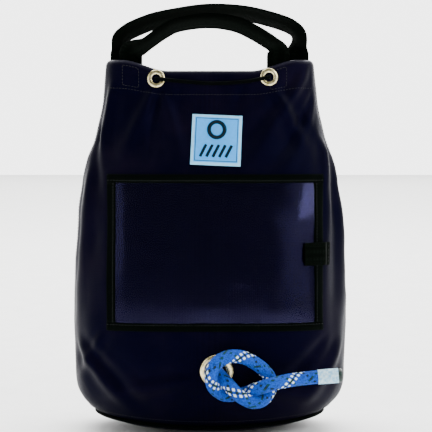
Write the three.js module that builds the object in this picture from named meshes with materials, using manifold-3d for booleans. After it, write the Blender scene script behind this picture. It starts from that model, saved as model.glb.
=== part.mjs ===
// Rope storage bag: a soft coated-cloth sack that stands on its round base, with two webbing
// handles, a drawcord hem, a clear window pocket, a label patch and a rope that leaves through a
// grommet near the base and is stopped by an overhand knot.
// Millimetres, +Z up, origin on the floor under the middle of the base, the front faces -Y.
import * as THREE from "three";
import { mergeVertices } from "three/addons/utils/BufferGeometryUtils.js";
import Module from "manifold-3d";

const wasm = await Module();
wasm.setup();

// ---- driving dimensions -------------------------------------------------------------------
const BAG_WIDTH = 304; // across the widest part of the wall
const BAG_DEPTH = 160; // front to back at the same height
const BAG_HEIGHT = 410; // floor to the rim beside the handles
const CORNER_POWER = 3; // superellipse power of the plan outline: 2 is an ellipse
const WALL = 1.5; // coated cloth with its seam allowance
const GAP = 0.3; // between pieces that touch
const STANDOFF = 0.9; // from the wall to what is sewn on its curved outside

const SEAM_HEIGHT = 9; // base seam at the front and back
const SEAM_RISE = 12; // how much higher the same seam is at the two sides
const SEAM_FADE = 60; // height over which the wall levels out above that seam
const FRONT_RIM_DIP = 12; // how far the rim sags between the handles
const BACK_RIM_DIP = 16;
const RIM_FADE = 70; // height over which that sag fades out
const PIPING_RADIUS = 1.6;
const BASE_THICKNESS = 2;

const HEM_DEPTH = 34; // folded hem, from the rim down
const HEM_CLOTH = 1.2;
const CHANNEL = 8; // clear depth of the drawcord tunnel inside the hem
const SEAM_TAPE_WIDTH = 20;
const SEAM_TAPE = 1;

const EYELET_OUTER = 9.9; // flange radius of the small eyelets
const EYELET_HOLE = 4.75;
const EYELET_DROP = 11.5; // below the rim
const EYELET_LEFT_INSET = 56.5; // from the side of the mouth to the eyelet's middle
const EYELET_RIGHT_INSET = 49.5;
const DRAWCORD_RADIUS = 2.2;

const ROPE_RADIUS = 7.4;
const ROPE_GROMMET_OUTER = 18.25;
const ROPE_GROMMET_HOLE = 10.3;
const ROPE_GROMMET_X = 7.8;
const ROPE_GROMMET_HEIGHT = 72.5;
const BARREL_WALL = 0.8;
const WASHER = 1;

const WEBBING_WIDTH = 25;
const WEBBING_THICKNESS = 2.2;
const HANDLE_RISE = 62; // top edge of the handles above the rim
const HANDLE_HINGE_RISE = 2.5; // fold line of the straps above the rim
const ANCHOR_LENGTH = 62; // sewn leg of a strap, inside the wall
const FOLD_CLEARANCE = 1.6; // the swinging strap stays this far above its sewn leg
const REAR_LEG_INSET = 16.5; // from the side of the mouth to a leg's middle
const FRONT_LEFT_LEG_INSET = 28;
const FRONT_RIGHT_LEG_INSET = 39;

const LABEL_WIDTH = 55;
const LABEL_HEIGHT = 56;
const LABEL_X = 7.6;
const LABEL_DROP = 88; // from the rim to the label's middle
const LABEL_TURN = -0.045; // radians, a little clockwise
const PATCH_THICKNESS = 1.2;

const WINDOW_LEFT_INSET = 41; // from the widest side to the pocket's edge
const WINDOW_RIGHT_INSET = 29;
const WINDOW_DROP = 126; // from the rim to the pocket's top edge
const WINDOW_CLEARANCE = 43; // from the rope grommet's middle up to the pocket's bottom edge
const BINDING_WIDTH = 9;
const BINDING_THICKNESS = 2.3;
const WINDOW_THICKNESS = 0.6;
const WINDOW_STANDOFF = 1.6;

const TAB_LENGTH = 22;
const TAB_WIDTH = 25;
const TAB_THICKNESS = 1.4;
const FASTENER_THICKNESS = 0.7;
const FASTENER_LENGTH = 9;

const HANK_END_INSET = 23.7; // from the base seam to the end of the bundled rope inside
const HANK_SIDE_INSET = 13.6;
const HANK_HEIGHT = 48;
const HANK_FLOOR = 11.5;
const TIE_WIDTH = 25;
const TIE_THICKNESS = 1.2;

// ---- colours --------------------------------------------------------------------------------
const finish = (color, roughness, metalness = 0) =>
  new THREE.MeshStandardMaterial({ color, roughness, metalness });
const COATED_CLOTH = finish(0x10101f, 0.5);
const WEBBING = finish(0x0d120e, 0.75);
const BRASS = finish(0xd8cf98, 0.3, 1);
const LABEL_CLOTH = finish(0x74c3f5, 0.7);
const CLEAR_VINYL = finish(0x22202c, 0.08);
const BRAID = finish(0x1b74c9, 0.8);
const TAPE = finish(0xd6ebf0, 0.4);
const CORD = finish(0x0b0b0d, 0.7);

// ---- the bag's outer surface ------------------------------------------------------------------
// Stations up the wall: share of the height, share of the half width, share of the half depth.
const STATIONS = [
  [0, 0.38, 0.5],
  [0.0032, 0.5, 0.6],
  [0.0085, 0.66, 0.72],
  [0.022, 0.83, 0.82],
  [0.046, 0.91, 0.88],
  [0.078, 0.955, 0.935],
  [0.11, 0.98, 0.97],
  [0.146, 0.992, 0.99],
  [0.241, 1, 1],
  [0.371, 0.99, 0.975],
  [0.566, 0.967, 0.85],
  [0.663, 0.934, 0.73],
  [0.729, 0.9, 0.63],
  [0.793, 0.836, 0.53],
  [0.859, 0.8, 0.45],
  [0.923, 0.778, 0.39],
  [1, 0.757, 0.35],
];

const smooth = (t) => THREE.MathUtils.smoothstep(t, 0, 1);

// Size at a height, by a Catmull-Rom curve through one column of the stations.
function station(height, column) {
  const share = THREE.MathUtils.clamp(height / BAG_HEIGHT, 0, 1);
  let i = 0;
  while (i < STATIONS.length - 2 && share > STATIONS[i + 1][0]) i++;
  const at = (k) => STATIONS[THREE.MathUtils.clamp(k, 0, STATIONS.length - 1)];
  const [s0, s1, s2, s3] = [at(i - 1), at(i), at(i + 1), at(i + 2)];
  const span = s2[0] - s1[0];
  const slope = (a, b) => ((b[column] - a[column]) / (b[0] - a[0])) * span;
  const m1 = slope(s0, s2);
  const m2 = slope(s1, s3);
  const t = (share - s1[0]) / span;
  return (
    (2 * t ** 3 - 3 * t ** 2 + 1) * s1[column] +
    (t ** 3 - 2 * t ** 2 + t) * m1 +
    (3 * t ** 2 - 2 * t ** 3) * s2[column] +
    (t ** 3 - t ** 2) * m2
  );
}
const halfWidth = (height) => (station(height, 1) * BAG_WIDTH) / 2;
const halfDepth = (height) => (station(height, 2) * BAG_DEPTH) / 2;

// How far a point of the wall lies above its nominal height.
function lift(across, out, height) {
  const side = Math.abs(across) ** 2;
  const low = Math.min(height / SEAM_HEIGHT, 1) * (1 - smooth((height - SEAM_HEIGHT) / SEAM_FADE));
  const high = smooth((height - BAG_HEIGHT + RIM_FADE) / RIM_FADE);
  const sag = smooth((0.85 - Math.abs(across)) / 0.45);
  const dip = out > 0 ? FRONT_RIM_DIP : BACK_RIM_DIP;
  return SEAM_RISE * side * low - dip * sag * high;
}

const power = (v) => Math.sign(v) * Math.abs(v) ** (2 / CORNER_POWER);

// A point of the outer surface: angle 0 is the right side, a quarter turn is the front.
function wallPoint(angle, height) {
  const across = power(Math.cos(angle));
  const out = power(Math.sin(angle));
  return new THREE.Vector3(
    halfWidth(height) * across,
    -halfDepth(height) * out,
    height + lift(across, out, height),
  );
}

function wallNormal(angle, height) {
  const [da, dh] = [1e-3, 0.5];
  const along = wallPoint(angle + da, height).sub(wallPoint(angle - da, height));
  const up = wallPoint(angle, height + dh).sub(wallPoint(angle, Math.max(height - dh, 0)));
  return up.cross(along).normalize();
}

// Angle of the wall at a given X, on the front (side 1) or the back (side -1).
function angleAt(x, height, side = 1) {
  const share = THREE.MathUtils.clamp(x / halfWidth(height), -1, 1);
  return side * Math.acos(Math.sign(share) * Math.abs(share) ** (CORNER_POWER / 2));
}

// Angle near the right side (or the left) at a given distance in front of the side seam.
function angleBeside(y, height, right) {
  const share = THREE.MathUtils.clamp(y / halfDepth(height), -1, 1);
  const angle = Math.asin(Math.sign(share) * Math.abs(share) ** (CORNER_POWER / 2));
  return right ? angle : Math.PI - angle;
}

function offsetPoint(angle, height, offset) {
  return wallPoint(angle, height).addScaledVector(wallNormal(angle, height), offset);
}

const onFront = (x, height, offset) => offsetPoint(angleAt(x, height), height, offset);

// Height of a row of the walls' grid, closer together near the base where the wall curves most.
const WALL_ROWS = 18;
const ROW_POWER = 1.35;
function rowHeight(row) {
  const low = SEAM_HEIGHT + GAP;
  return low + (BAG_HEIGHT - low) * (row / WALL_ROWS) ** ROW_POWER;
}

// ---- closed solids ------------------------------------------------------------------------------
// A loft through rings of points. Each ring is closed, and all have the same number of points.
// The ends are capped, unless the loft itself closes on its first ring.
function loft(rings, closed = false) {
  const count = rings[0].length;
  const points = rings.flat();
  const faces = [];
  const last = closed ? rings.length : rings.length - 1;
  for (let i = 0; i < last; i++) {
    const [a, b] = [i * count, ((i + 1) % rings.length) * count];
    for (let j = 0; j < count; j++) {
      const k = (j + 1) % count;
      faces.push(a + j, a + k, b + k, a + j, b + k, b + j);
    }
  }
  if (!closed) {
    capRing(rings[0], 0, true, faces);
    capRing(rings.at(-1), (rings.length - 1) * count, false, faces);
  }
  return outward(points, faces);
}

// Triangles across a ring, found on the ring's own best plane.
function capRing(ring, start, flip, faces) {
  const normal = new THREE.Vector3();
  ring.forEach((p, i) => normal.add(p.clone().cross(ring[(i + 1) % ring.length])));
  normal.normalize();
  const u = ring[1].clone().sub(ring[0]).normalize();
  const v = normal.clone().cross(u).normalize();
  const flat = ring.map((p) => new THREE.Vector2(p.dot(u), p.dot(v)));
  for (const [a, b, c] of THREE.ShapeUtils.triangulateShape(flat, [])) {
    const corners = flip ? [c, b, a] : [a, b, c];
    faces.push(...corners.map((k) => start + k));
  }
}

// Geometry from points and triangles, turned so that it encloses a positive volume.
function outward(points, faces) {
  let volume = 0;
  for (let i = 0; i < faces.length; i += 3) {
    const [a, b, c] = [points[faces[i]], points[faces[i + 1]], points[faces[i + 2]]];
    volume += a.dot(b.clone().cross(c));
  }
  if (volume < 0) faces.reverse();
  const geometry = new THREE.BufferGeometry().setFromPoints(points);
  return geometry.setIndex(faces);
}

// A sheet of even thickness: place(u, v, offset) gives a point of the surface moved along its
// normal, and u and v run from 0 to 1.
function sheet(across, up, place, inner, outer) {
  const rings = [];
  for (let i = 0; i <= across; i++) {
    const ring = [];
    for (let j = 0; j <= up; j++) ring.push(place(i / across, j / up, outer));
    for (let j = up; j >= 0; j--) ring.push(place(i / across, j / up, inner));
    rings.push(ring);
  }
  return stripLoft(rings, up);
}

// The loft of a sheet, whose two ends are closed by strips instead of a flat cap.
function stripLoft(rings, up) {
  const count = rings[0].length;
  const points = rings.flat();
  const faces = [];
  for (let i = 0; i < rings.length - 1; i++) {
    for (let j = 0; j < count; j++) {
      const k = (j + 1) % count;
      const [a, b] = [i * count, (i + 1) * count];
      faces.push(a + j, a + k, b + k, a + j, b + k, b + j);
    }
  }
  for (const [start, flip] of [[0, true], [(rings.length - 1) * count, false]]) {
    for (let j = 0; j < up; j++) {
      const [p, q, r, s] = [j, j + 1, count - 2 - j, count - 1 - j].map((k) => start + k);
      faces.push(...(flip ? [r, q, p, s, r, p] : [p, q, r, p, r, s]));
    }
  }
  return outward(points, faces);
}

// A patch on the front of the bag between two X and two heights, with an optional turn.
function frontPatch(left, right, low, high, inner, outer, across, up, turn = 0) {
  const [cx, cz] = [(left + right) / 2, (low + high) / 2];
  const place = (u, v, offset) => {
    const dx = left + (right - left) * u - cx;
    const dz = low + (high - low) * v - cz;
    const x = cx + dx * Math.cos(turn) - dz * Math.sin(turn);
    const z = cz + dx * Math.sin(turn) + dz * Math.cos(turn);
    return onFront(x, z, offset);
  };
  return sheet(across, up, place, inner, outer);
}

// A round tube along a list of points on a smooth curve.
function tube(points, radius, sides, steps) {
  const curve = new THREE.CatmullRomCurve3(points, false, "centripetal");
  const shape = new THREE.Shape();
  for (let i = 0; i < sides; i++) {
    const angle = (2 * Math.PI * i) / sides;
    const at = [radius * Math.cos(angle), radius * Math.sin(angle)];
    if (i) shape.lineTo(...at);
    else shape.moveTo(...at);
  }
  shape.closePath();
  return new THREE.ExtrudeGeometry(shape, { steps, extrudePath: curve });
}

// A ring or a disc turned about the Y axis from [radius, height] points.
const turned = (profile, segments = 28) =>
  new THREE.LatheGeometry(
    profile.map(([r, y]) => new THREE.Vector2(r, y)),
    segments,
  );

function toSolid(geometry) {
  const bare = geometry.clone();
  bare.deleteAttribute("normal");
  bare.deleteAttribute("uv");
  const merged = mergeVertices(bare, 1e-4);
  return new wasm.Manifold(
    new wasm.Mesh({
      numProp: 3,
      vertProperties: new Float32Array(merged.attributes.position.array),
      triVerts: new Uint32Array(merged.index.array),
    }),
  );
}

function fromSolid(solid) {
  const mesh = solid.getMesh();
  const geometry = new THREE.BufferGeometry();
  geometry.setAttribute("position", new THREE.BufferAttribute(mesh.vertProperties, 3));
  return geometry.setIndex(new THREE.BufferAttribute(mesh.triVerts, 1));
}

// ---- the assembly -----------------------------------------------------------------------------------
const bag = new THREE.Group();

function add(name, geometry, material, parent = bag) {
  const mesh = new THREE.Mesh(geometry, material);
  mesh.name = name;
  parent.add(mesh);
  return mesh;
}

// A group on the wall whose own +Y axis is the wall's outward normal.
function wallGroup(x, height) {
  const group = new THREE.Group();
  const angle = angleAt(x, height);
  group.position.copy(wallPoint(angle, height));
  group.quaternion.setFromUnitVectors(new THREE.Vector3(0, 1, 0), wallNormal(angle, height));
  bag.add(group);
  return group;
}

const mouthHalf = halfWidth(BAG_HEIGHT);
const EYELETS = [
  ["left", -mouthHalf + EYELET_LEFT_INSET],
  ["right", mouthHalf - EYELET_RIGHT_INSET],
];
const EYELET_HEIGHT = BAG_HEIGHT - EYELET_DROP;

// Front and back walls, each one sewn sheet, with holes in the front for the three grommets.
function panel(name, side, holes) {
  const [across, up] = [30, WALL_ROWS];
  const place = (u, v, offset) => {
    const height = rowHeight(v * WALL_ROWS);
    const point = offsetPoint(side * Math.PI * u, height, offset);
    if (u === 0 || u === 1) point.y = (-side * GAP) / 2;
    return point;
  };
  let solid = toSolid(sheet(across, up, place, -WALL, 0));
  for (const [x, height, radius] of holes) {
    const cutter = new THREE.CylinderGeometry(radius, radius, 12 * WALL, 32);
    const angle = angleAt(x, height);
    const turn = new THREE.Quaternion();
    turn.setFromUnitVectors(new THREE.Vector3(0, 1, 0), wallNormal(angle, height));
    cutter.applyQuaternion(turn);
    const at = wallPoint(angle, height);
    solid = solid.subtract(toSolid(cutter.translate(at.x, at.y, at.z)));
  }
  add(name, fromSolid(solid), COATED_CLOTH);
}

function walls() {
  const clear = BARREL_WALL + 2 * GAP;
  const holes = EYELETS.map(([, x]) => [x, EYELET_HEIGHT, EYELET_HOLE + clear]);
  holes.push([ROPE_GROMMET_X, ROPE_GROMMET_HEIGHT, ROPE_GROMMET_HOLE + clear]);
  panel("front_panel", 1, holes);
  panel("back_panel", -1, []);
}

// Tape that covers each side seam on the inside, from the base to the hem.
function seamTapes() {
  const [first, last] = [2, WALL_ROWS - 3];
  for (const [name, right] of [["left", false], ["right", true]]) {
    const place = (u, v, offset) => {
      const height = rowHeight(first + (last - first) * v);
      const y = SEAM_TAPE_WIDTH * (u - 0.5);
      return offsetPoint(angleBeside(y, height, right), height, offset);
    };
    const outer = -WALL - 2 * GAP;
    const solid = sheet(6, last - first, place, outer - SEAM_TAPE, outer);
    add(`side_seam_tape_${name}`, solid, WEBBING);
  }
}

// The dished base: flat on the floor, turned up to the seam all round.
function base() {
  const count = 40;
  const ring = (height, offset, rise) =>
    Array.from({ length: count }, (_, i) => {
      const angle = (2 * Math.PI * i) / count;
      const p = wallPoint(angle, height);
      const inward = 1 + offset / Math.hypot(p.x, p.y);
      return new THREE.Vector3(p.x * inward, p.y * inward, p.z + rise);
    });
  const heights = [0, 0.15, 0.3, 0.45, 0.65, 1].map((share) => share * SEAM_HEIGHT);
  const under = heights.map((h) => ring(h, 0, 0));
  const over = heights.map((h) => ring(h, -BASE_THICKNESS / 2, BASE_THICKNESS)).reverse();
  over[0] = ring(SEAM_HEIGHT, -BASE_THICKNESS, 0);
  const middle = (z) => ring(0, -0.5 * halfDepth(0), 0).map((p) => p.setZ(z));
  const rings = [middle(0), ...under, ...over, middle(BASE_THICKNESS)];
  add("base_panel", loft(rings), COATED_CLOTH);
  const bead = Array.from({ length: count }, (_, i) => {
    const angle = (2 * Math.PI * i) / count;
    const centre = offsetPoint(angle, SEAM_HEIGHT, PIPING_RADIUS + 3 * GAP);
    const out = wallNormal(angle, SEAM_HEIGHT);
    const up = new THREE.Vector3(0, 0, 1);
    return Array.from({ length: 8 }, (_, k) => {
      const turn = (2 * Math.PI * k) / 8;
      return centre
        .clone()
        .addScaledVector(out, PIPING_RADIUS * Math.cos(turn))
        .addScaledVector(up, PIPING_RADIUS * Math.sin(turn));
    });
  });
  add("base_piping", loft(bead, true), WEBBING);
}

// The cloth folded to the inside at the rim, which makes the drawcord tunnel.
function hems() {
  const low = BAG_HEIGHT - HEM_DEPTH;
  const [near, far] = [-WALL - GAP, -WALL - CHANNEL];
  const section = [
    [near, BAG_HEIGHT],
    [near, BAG_HEIGHT - HEM_CLOTH],
    [far, BAG_HEIGHT - HEM_CLOTH],
    [far, low],
    [far - HEM_CLOTH, low],
    [far - HEM_CLOTH, BAG_HEIGHT],
  ];
  for (const [name, side] of [["front_hem", 1], ["back_hem", -1]]) {
    const [first, last, steps] = [0.14, Math.PI - 0.14, 26];
    const rings = Array.from({ length: steps + 1 }, (_, i) => {
      const angle = side * (first + ((last - first) * i) / steps);
      const ring = section.map(([offset, height]) => offsetPoint(angle, height, offset));
      return ring;
    });
    add(name, loft(rings), COATED_CLOTH);
  }
}

// A two-part grommet: a domed flange with its barrel outside, and a washer inside the wall.
function grommet(name, washer, x, height, hole, outer, dome) {
  const group = wallGroup(x, height);
  const barrel = hole + BARREL_WALL;
  const seat = 2 * GAP;
  const body = [
    [hole, -WALL - 2],
    [barrel, -WALL - 2],
    [barrel, seat],
    [outer, seat],
    [outer - 0.08 * outer, seat + 0.7 * dome],
    [(outer + barrel) / 2, seat + dome],
    [barrel, seat + 0.8 * dome],
    [hole, seat + 0.2 * dome],
    [hole, -WALL - 2],
  ];
  add(name, turned(body), BRASS, group);
  const top = -WALL - STANDOFF - GAP;
  const under = top - WASHER;
  const ring = [
    [barrel + GAP, under],
    [outer - 0.6, under],
    [outer - 0.6, top],
    [barrel + GAP, top],
    [barrel + GAP, under],
  ];
  add(washer, turned(ring), BRASS, group);
}

function grommets() {
  for (const [name, x] of EYELETS) {
    const [hole, outer] = [EYELET_HOLE, EYELET_OUTER];
    grommet(`eyelet_${name}`, `eyelet_washer_${name}`, x, EYELET_HEIGHT, hole, outer, 1.8);
  }
  const [x, height] = [ROPE_GROMMET_X, ROPE_GROMMET_HEIGHT];
  const [hole, outer] = [ROPE_GROMMET_HOLE, ROPE_GROMMET_OUTER];
  grommet("rope_grommet", "rope_grommet_washer", x, height, hole, outer, 3);
}

// The drawcord: one run hidden in the hem, and the stretch that shows between the two eyelets.
function drawcord() {
  const [left, right] = EYELETS.map(([, x]) => x);
  const h = EYELET_HEIGHT;
  const run = -WALL - GAP - 2.3 - DRAWCORD_RADIUS;
  const proud = DRAWCORD_RADIUS + 1.2;
  const front = [
    onFront(left, h, run + DRAWCORD_RADIUS + GAP),
    onFront(left, h, 1.5),
    onFront(left + 4, h, 5),
    onFront(left + 12, h, proud + 0.8),
    onFront(left + 30, h - 1, proud),
    onFront((left + right) / 2, h - 2, proud),
    onFront(right - 30, h - 1, proud),
    onFront(right - 12, h, proud + 0.8),
    onFront(right - 4, h, 5),
    onFront(right, h, 1.5),
    onFront(right, h, run + DRAWCORD_RADIUS + GAP),
  ];
  add("drawcord_front_run", tube(front, DRAWCORD_RADIUS, 8, 44), CORD);
  const [from, to] = [angleAt(left + DRAWCORD_RADIUS, h), angleAt(right - DRAWCORD_RADIUS, h)];
  const hidden = Array.from({ length: 25 }, (_, i) => {
    const angle = from + ((2 * Math.PI + to - from) * i) / 24;
    return offsetPoint(angle, h, run);
  });
  add("drawcord_hem_run", tube(hidden, DRAWCORD_RADIUS, 8, 60), CORD);
}

// A flat strap standing up: the path gives the middle line as [x, z], and y(z) its lean.
function strap(path, lean, thickness) {
  const curve = new THREE.CatmullRomCurve3(
    path.map(([x, z]) => new THREE.Vector3(x, 0, z)),
    false,
    "centripetal",
  );
  const steps = 36;
  const rings = [];
  for (let i = 0; i <= steps; i++) {
    const p = curve.getPointAt(i / steps);
    const t = curve.getTangentAt(i / steps);
    const upright = new THREE.Vector3(0, 0, 2 * i > steps ? -1 : 1);
    const end = (Math.min(i, steps - i) / steps) * curve.getLength();
    t.lerp(upright, 1 - smooth(end / (0.8 * WEBBING_WIDTH))).normalize();
    const across = new THREE.Vector3(-t.z, 0, t.x).multiplyScalar(WEBBING_WIDTH / 2);
    const corner = (side, depth) => {
      const q = p.clone().addScaledVector(across, side);
      return q.setY(lean(q.z) + depth);
    };
    const half = thickness / 2;
    rings.push([corner(1, half), corner(-1, half), corner(-1, -half), corner(1, -half)]);
  }
  return loft(rings);
}

// Each handle is one loop of webbing: its arch swings, and its two sewn legs stay in the bag.
function handles() {
  const fold = BAG_HEIGHT + HANDLE_HINGE_RISE;
  const top = BAG_HEIGHT + HANDLE_RISE - WEBBING_WIDTH / 2;
  const stack = WEBBING_THICKNESS + 2 * GAP;
  const inner = WALL + CHANNEL + HEM_CLOTH + GAP;
  const straps = [
    {
      name: "front_handle",
      side: 1,
      legs: [-mouthHalf + FRONT_LEFT_LEG_INSET, mouthHalf - FRONT_RIGHT_LEG_INSET],
      rise: [0.27, 0.62, 0.92, 1, 0.85, 0.6, 0.3],
      along: [0.08, 0.25, 0.42, 0.62, 0.8, 0.9, 0.99],
      y: -stack / 2,
    },
    {
      name: "rear_handle",
      side: -1,
      legs: [-mouthHalf + REAR_LEG_INSET, mouthHalf - REAR_LEG_INSET],
      rise: [0.47, 0.72, 0.94, 1, 0.95, 0.73, 0.5],
      along: [0.01, 0.16, 0.37, 0.56, 0.73, 0.91, 1.0],
      y: stack / 2,
    },
  ];
  for (const { name, side, legs, rise, along, y } of straps) {
    const [left, right] = legs;
    const middle = rise.map((r, i) => [left + (right - left) * along[i], fold + (top - fold) * r]);
    const path = [[left, fold], [left, fold + 7], ...middle, [right, fold + 7], [right, fold]];
    const root = offsetPoint(angleAt(left, BAG_HEIGHT, side), BAG_HEIGHT, -inner - 1).y;
    const lean = (z) => THREE.MathUtils.lerp(root, y, smooth((z - fold) / (top - fold)));
    add(name, strap(path, lean, WEBBING_THICKNESS), WEBBING);
    legs.forEach((x, i) => {
      const place = (u, v, offset) => {
        const height = fold - FOLD_CLEARANCE - ANCHOR_LENGTH * (1 - v);
        const capped = Math.min(height, BAG_HEIGHT);
        const at = x + WEBBING_WIDTH * (u - 0.5);
        const p = offsetPoint(angleAt(at, capped, side), capped, offset);
        return p.setZ(p.z + height - capped);
      };
      const solid = sheet(4, 8, place, -inner - WEBBING_THICKNESS, -inner);
      add(`${name}_anchor_${i ? "right" : "left"}`, solid, WEBBING);
    });
  }
}

function label() {
  const [cx, cz] = [LABEL_X, BAG_HEIGHT - LABEL_DROP];
  const [w, h] = [LABEL_WIDTH / 2, LABEL_HEIGHT / 2];
  const solid = frontPatch(
    cx - w,
    cx + w,
    cz - h,
    cz + h,
    STANDOFF,
    STANDOFF + PATCH_THICKNESS,
    5,
    5,
    LABEL_TURN,
  );
  add("label_patch", solid, LABEL_CLOTH);
}

// The clear pocket: a vinyl sheet framed by four bindings, closed by a small flap at the right.
function windowPocket() {
  const left = -BAG_WIDTH / 2 + WINDOW_LEFT_INSET;
  const right = BAG_WIDTH / 2 - WINDOW_RIGHT_INSET;
  const top = BAG_HEIGHT - WINDOW_DROP;
  const low = ROPE_GROMMET_HEIGHT + WINDOW_CLEARANCE;
  const [inL, inR] = [left + BINDING_WIDTH, right - BINDING_WIDTH];
  const [inT, inB] = [top - BINDING_WIDTH, low + BINDING_WIDTH];
  const outer = STANDOFF + BINDING_THICKNESS;
  const strip = (name, l, r, b, t, across, up) =>
    add(`window_binding_${name}`, frontPatch(l, r, b, t, STANDOFF, outer, across, up), WEBBING);
  strip("top", left, right, inT, top, 14, 1);
  strip("bottom", left, right, low, inB, 14, 1);
  strip("left", left, inL, inB + GAP, inT - GAP, 1, 8);
  strip("right", inR, right, inB + GAP, inT - GAP, 1, 8);
  const [from, to] = [WINDOW_STANDOFF, WINDOW_STANDOFF + WINDOW_THICKNESS];
  const clear = frontPatch(inL + GAP, inR - GAP, inB + GAP, inT - GAP, from, to, 14, 8);
  add("window_sheet", clear, CLEAR_VINYL);
  closure(right, (top + low) / 2, outer, to);
}

// The closing flap folds over the right binding and is held by a hook and loop pair.
function closure(right, middle, bindingTop, sheetTop) {
  const [low, high] = [middle - TAB_WIDTH / 2, middle + TAB_WIDTH / 2];
  const under = bindingTop + 3 * GAP + FASTENER_THICKNESS;
  const left = right + 1 - TAB_LENGTH;
  const flap = frontPatch(left, right + 1, low, high, under, under + TAB_THICKNESS, 6, 4);
  add("closure_tab", flap, WEBBING);
  const [from, to] = [left + 1, left + 1 + FASTENER_LENGTH];
  const hookLow = under - GAP - FASTENER_THICKNESS;
  const pad = (a, b) => frontPatch(from, to, low + 2, high - 2, a, b, 3, 4);
  add("tab_hook_patch", pad(hookLow, hookLow + FASTENER_THICKNESS), WEBBING);
  const loopLow = sheetTop + GAP;
  add("tab_loop_patch", pad(loopLow, loopLow + FASTENER_THICKNESS), WEBBING);
}

// The rope outside the bag, from its cut end through the overhand knot to the grommet.
// Each point is x, height and distance in front of the wall at the grommet.
const ROPE_ROUTE = [
  [142, 70.3, 15],
  [131.5, 69.5, 15],
  [117, 68.4, 15],
  [105, 67.3, 15.5],
  [91, 66.2, 19],
  [78, 64.8, 25],
  [65.6, 62.5, 29.5],
  [50, 56.4, 23],
  [39, 50.8, 15],
  [28, 48.6, 12],
  [15.5, 49.4, 15],
  [5.6, 57.4, 21],
  [2.1, 69.6, 27],
  [4.2, 80.5, 30],
  [11.4, 88.3, 28],
  [23.5, 92, 23],
  [38, 89.5, 17.5],
  [52.4, 81, 13.5],
  [62.2, 71.5, 12],
  [66, 62.5, 12],
  [64.5, 52.5, 14.5],
  [57.3, 44.6, 20.5],
  [47.6, 42.8, 25.5],
  [38, 46.7, 29],
  [28.3, 53.8, 29.5],
  [20, 62.2, 24.5],
  [13, 68.6, 16.5],
  [8.4, 72, 8],
  [7.8, 72.5, 0],
  [7.8, 72.5, -10],
];

function rope() {
  const wallY = wallPoint(angleAt(ROPE_GROMMET_X, ROPE_GROMMET_HEIGHT), ROPE_GROMMET_HEIGHT).y;
  const outside = ROPE_ROUTE.map(([x, z, out]) => new THREE.Vector3(x, wallY - out, z));
  add("rope_knot", tube(outside, ROPE_RADIUS, 10, 78), BRAID);
  const [end, start] = [outside[1], outside[2]];
  const along = end.clone().sub(start);
  const length = along.length() * 1.5;
  const sleeve = turned([
    [ROPE_RADIUS + GAP, 0],
    [ROPE_RADIUS + GAP + 0.6, 0],
    [ROPE_RADIUS + GAP + 0.6, length],
    [ROPE_RADIUS + GAP, length],
    [ROPE_RADIUS + GAP, 0],
  ]);
  const tape = add("rope_whipping", sleeve, TAPE);
  tape.position.copy(start);
  tape.quaternion.setFromUnitVectors(new THREE.Vector3(0, 1, 0), along.normalize());
  const inside = outside.at(-1);
  const rest = HANK_FLOOR + HANK_HEIGHT + TIE_THICKNESS + 2 * GAP + ROPE_RADIUS;
  const leadIn = [
    inside.clone().setY(inside.y + GAP),
    inside.clone().setY(inside.y + 6),
    new THREE.Vector3(inside.x - 2, inside.y + 14, rest),
    new THREE.Vector3(inside.x - 10, inside.y + 24, rest),
    new THREE.Vector3(inside.x - 26, inside.y + 28, rest),
    new THREE.Vector3(inside.x - 42, inside.y + 30, rest),
  ];
  add("rope_lead_in", tube(leadIn, ROPE_RADIUS, 10, 12), BRAID);
}

// The rest of the rope, bundled as a hank on the base, with a strap round its waist.
function hank() {
  const outline = new THREE.Shape();
  const r = halfDepth(SEAM_HEIGHT) - HANK_SIDE_INSET;
  const straight = halfWidth(SEAM_HEIGHT) - HANK_END_INSET - r;
  outline.moveTo(-straight, -r);
  outline.lineTo(straight, -r);
  outline.absarc(straight, 0, r, -Math.PI / 2, Math.PI / 2, false);
  outline.lineTo(-straight, r);
  outline.absarc(-straight, 0, r, Math.PI / 2, 1.5 * Math.PI, false);
  const options = { depth: HANK_HEIGHT, bevelEnabled: false, curveSegments: 10 };
  const bundle = new THREE.ExtrudeGeometry(outline, options);
  add("rope_hank", bundle, BRAID).position.z = HANK_FLOOR;
  const band = new THREE.Shape();
  const box = (grow) => {
    const [y, low, high] = [r + grow, HANK_FLOOR - grow, HANK_FLOOR + HANK_HEIGHT + grow];
    return [[-y, low], [y, low], [y, high], [-y, high]].map((p) => new THREE.Vector2(...p));
  };
  band.setFromPoints(box(GAP + TIE_THICKNESS));
  band.holes.push(new THREE.Path().setFromPoints(box(GAP)));
  const tie = new THREE.ExtrudeGeometry(band, { depth: TIE_WIDTH, bevelEnabled: false });
  tie.rotateX(Math.PI / 2).rotateZ(Math.PI / 2);
  tie.translate(straight - TIE_WIDTH / 2, 0, 0);
  add("hank_tie", tie, WEBBING);
}

walls();
seamTapes();
base();
hems();
grommets();
drawcord();
handles();
label();
windowPocket();
rope();
hank();

export default bag;
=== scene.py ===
"""Rope storage bag: a coated pack-cloth sack with webbing handles, a drawcord hem, a clear window
pocket, a woven label and a rope end knotted outside a brass grommet. Sizes are in millimetres until
a point is placed, and in metres after that."""
from __future__ import annotations

import logging
import math
from bisect import bisect_left
from dataclasses import dataclass, field
from enum import Enum
from typing import Any, Callable, Sequence

import bmesh
import bpy
from mathutils import Matrix, Vector, noise


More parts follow.
